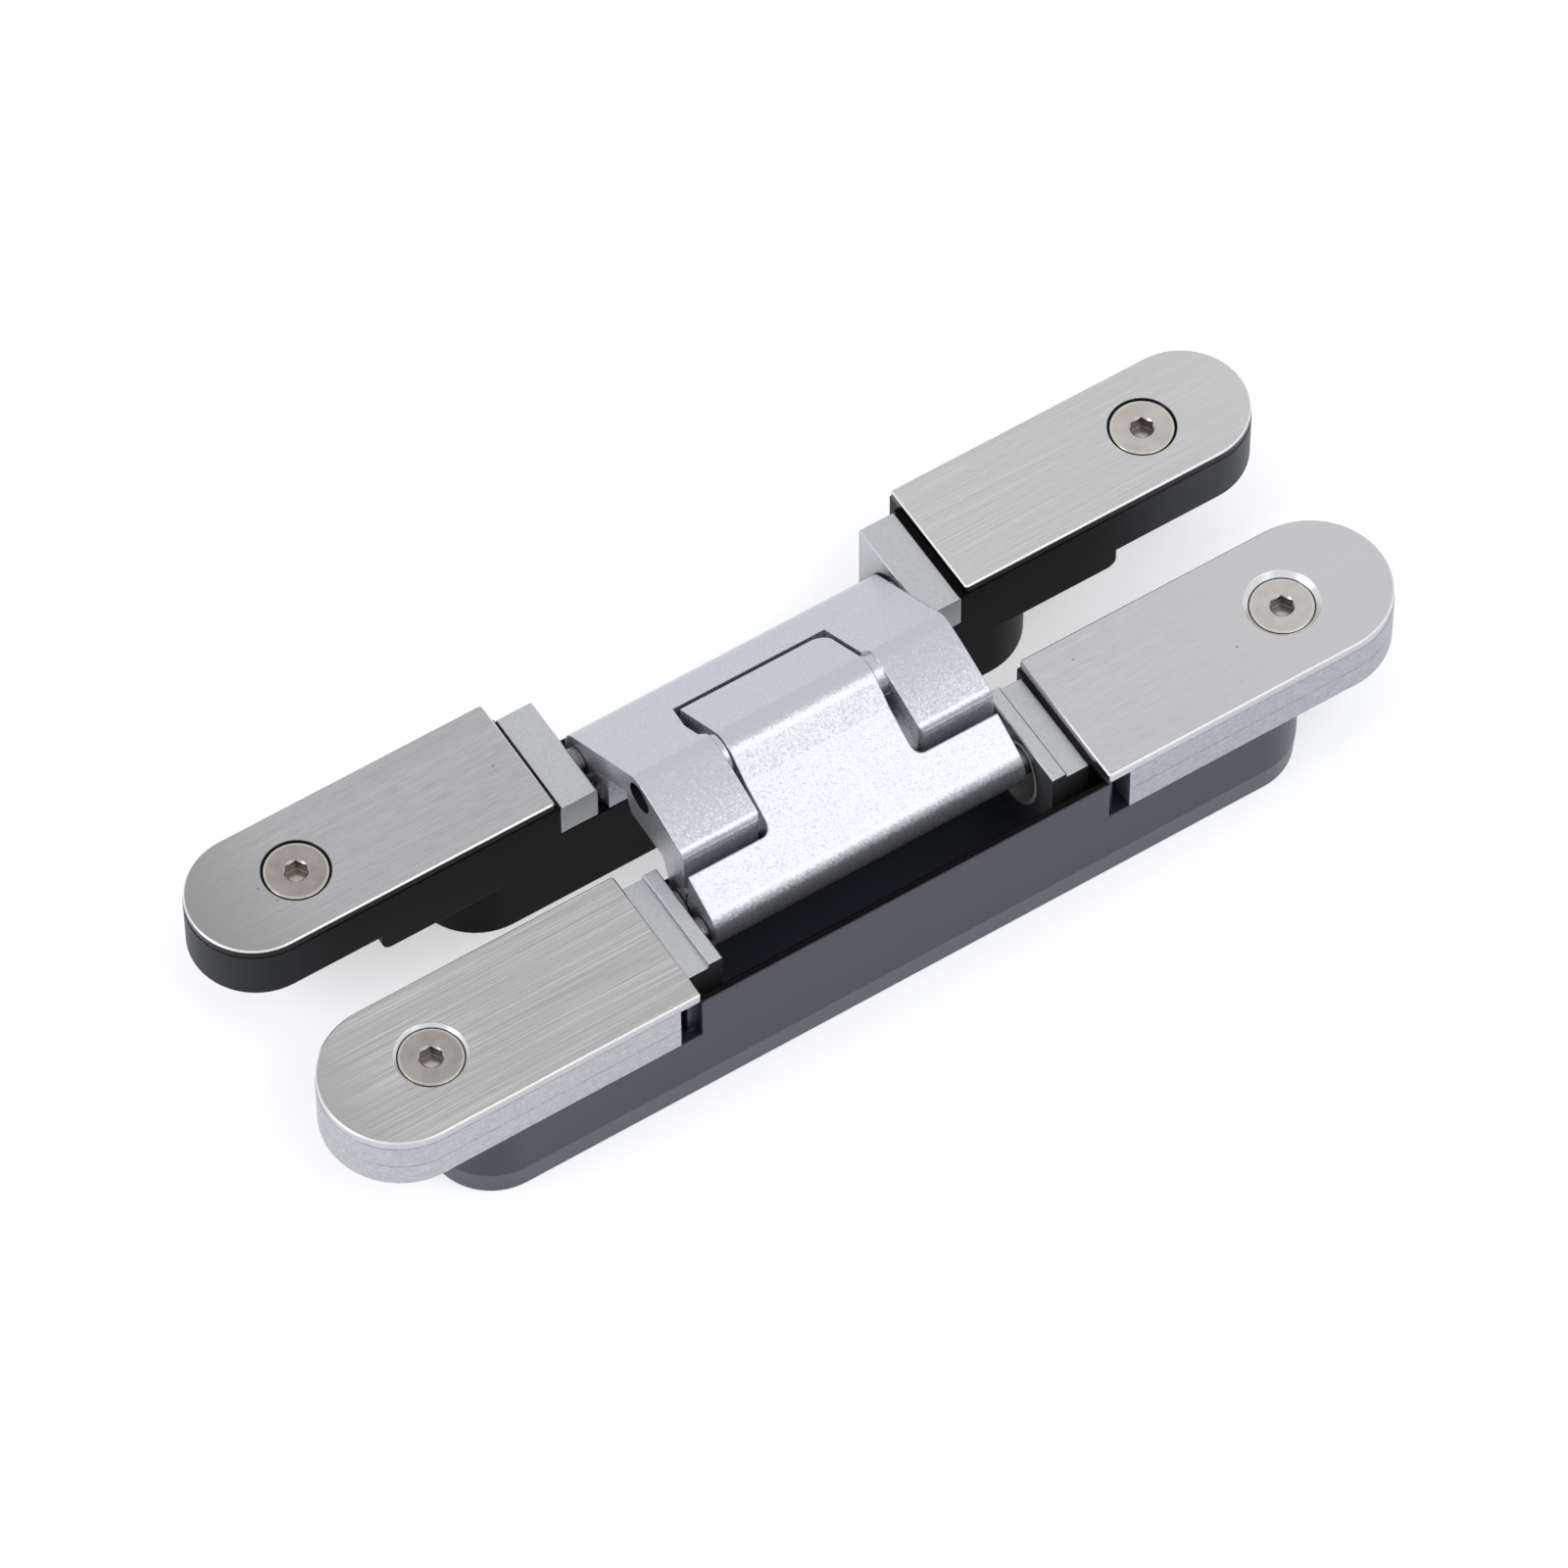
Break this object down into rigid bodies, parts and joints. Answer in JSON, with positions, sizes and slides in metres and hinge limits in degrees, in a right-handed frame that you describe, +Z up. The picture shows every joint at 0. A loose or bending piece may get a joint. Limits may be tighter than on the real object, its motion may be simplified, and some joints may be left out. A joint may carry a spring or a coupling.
{
  "type": "concealed door hinge",
  "caption": "Concealed door hinge: two slim round-ended mortise bodies with brushed cover plates, joined by a pair of folding silver arms that let the door open flat.",
  "frame": {"origin": "middle of the underside of the object's box, with the two bodies laid open and flat", "axes": "+X along the bodies, +Y from the front body across the gap to the rear body, +Z up out of the mortises through the cover faces"},
  "size_m": [0.223, 0.074, 0.0427],
  "materials": {
    "gunmetal_paint": "semi-gloss gunmetal coat on die-cast zinc",
    "black_paint": "satin black coat on die-cast zinc",
    "raw_zinc": "bare die-cast zinc, faintly mottled",
    "brushed_cover": "brushed along its length, polished edge",
    "nickel_screw": "nickel plated",
    "satin_zinc": "satin silver",
    "sparkle_silver": "fine metallic silver coat",
    "pin_steel": "ground steel",
    "white_nylon": "matt",
    "dark_screw": "black oxide"
  },
  "bodies": {
    "front_body": {"front_housing": "gunmetal_paint", "front_end_block_left": "raw_zinc", "front_end_block_right": "raw_zinc", "front_cover_left": "brushed_cover", "front_cover_right": "brushed_cover", "front_cover_screw_left": "nickel_screw", "front_cover_screw_right": "nickel_screw", "front_cheek_left": "satin_zinc", "front_cheek_right": "satin_zinc", "front_pivot_pin": "pin_steel", "front_washer_left": "pin_steel", "front_washer_right": "pin_steel", "clamp_screws": "dark_screw", "height_adjusters": "dark_screw", "front_cheek_screws": "dark_screw", "front_slot_liner_left": "white_nylon", "front_slot_liner_right": "white_nylon"},
    "front_link": {"front_arm": "sparkle_silver", "knee_pin": "pin_steel", "rear_slide_pin": "pin_steel", "rear_roller_left": "pin_steel", "rear_roller_right": "pin_steel"},
    "rear_link": {"rear_arm": "sparkle_silver", "front_slide_pin": "pin_steel", "front_roller_left": "pin_steel", "front_roller_right": "pin_steel"},
    "rear_body": {"rear_housing": "black_paint", "rear_cover_left": "brushed_cover", "rear_cover_right": "brushed_cover", "rear_cover_screw_left": "nickel_screw", "rear_cover_screw_right": "nickel_screw", "rear_cheek_left": "satin_zinc", "rear_cheek_right": "satin_zinc", "rear_pivot_pin": "pin_steel", "rear_washer_left": "pin_steel", "rear_washer_right": "pin_steel", "rear_cheek_screws": "dark_screw"}
  },
  "joints": [
    {"name": "fold", "type": "hinge", "parent": "front_body", "child": "front_link", "pos_m": [0, -0.01335, 0.0202], "axis": [1, 0, 0], "range_deg": [0, 93.48]},
    {"name": "knee", "type": "hinge", "parent": "front_link", "child": "rear_link", "pos_m": [0, 0.00045, 0.0381], "axis": [1, 0, 0], "range_deg": [-4.56, 0]},
    {"name": "rear_pivot", "type": "hinge", "parent": "rear_link", "child": "rear_body", "pos_m": [0, 0.01715, 0.0172], "axis": [1, 0, 0], "range_deg": [0, 91.08]}
  ],
  "couplings": [
    {"joint": "knee", "follows": "fold", "ratio": -0.048523},
    {"joint": "rear_pivot", "follows": "fold", "ratio": 0.97409}
  ]
}
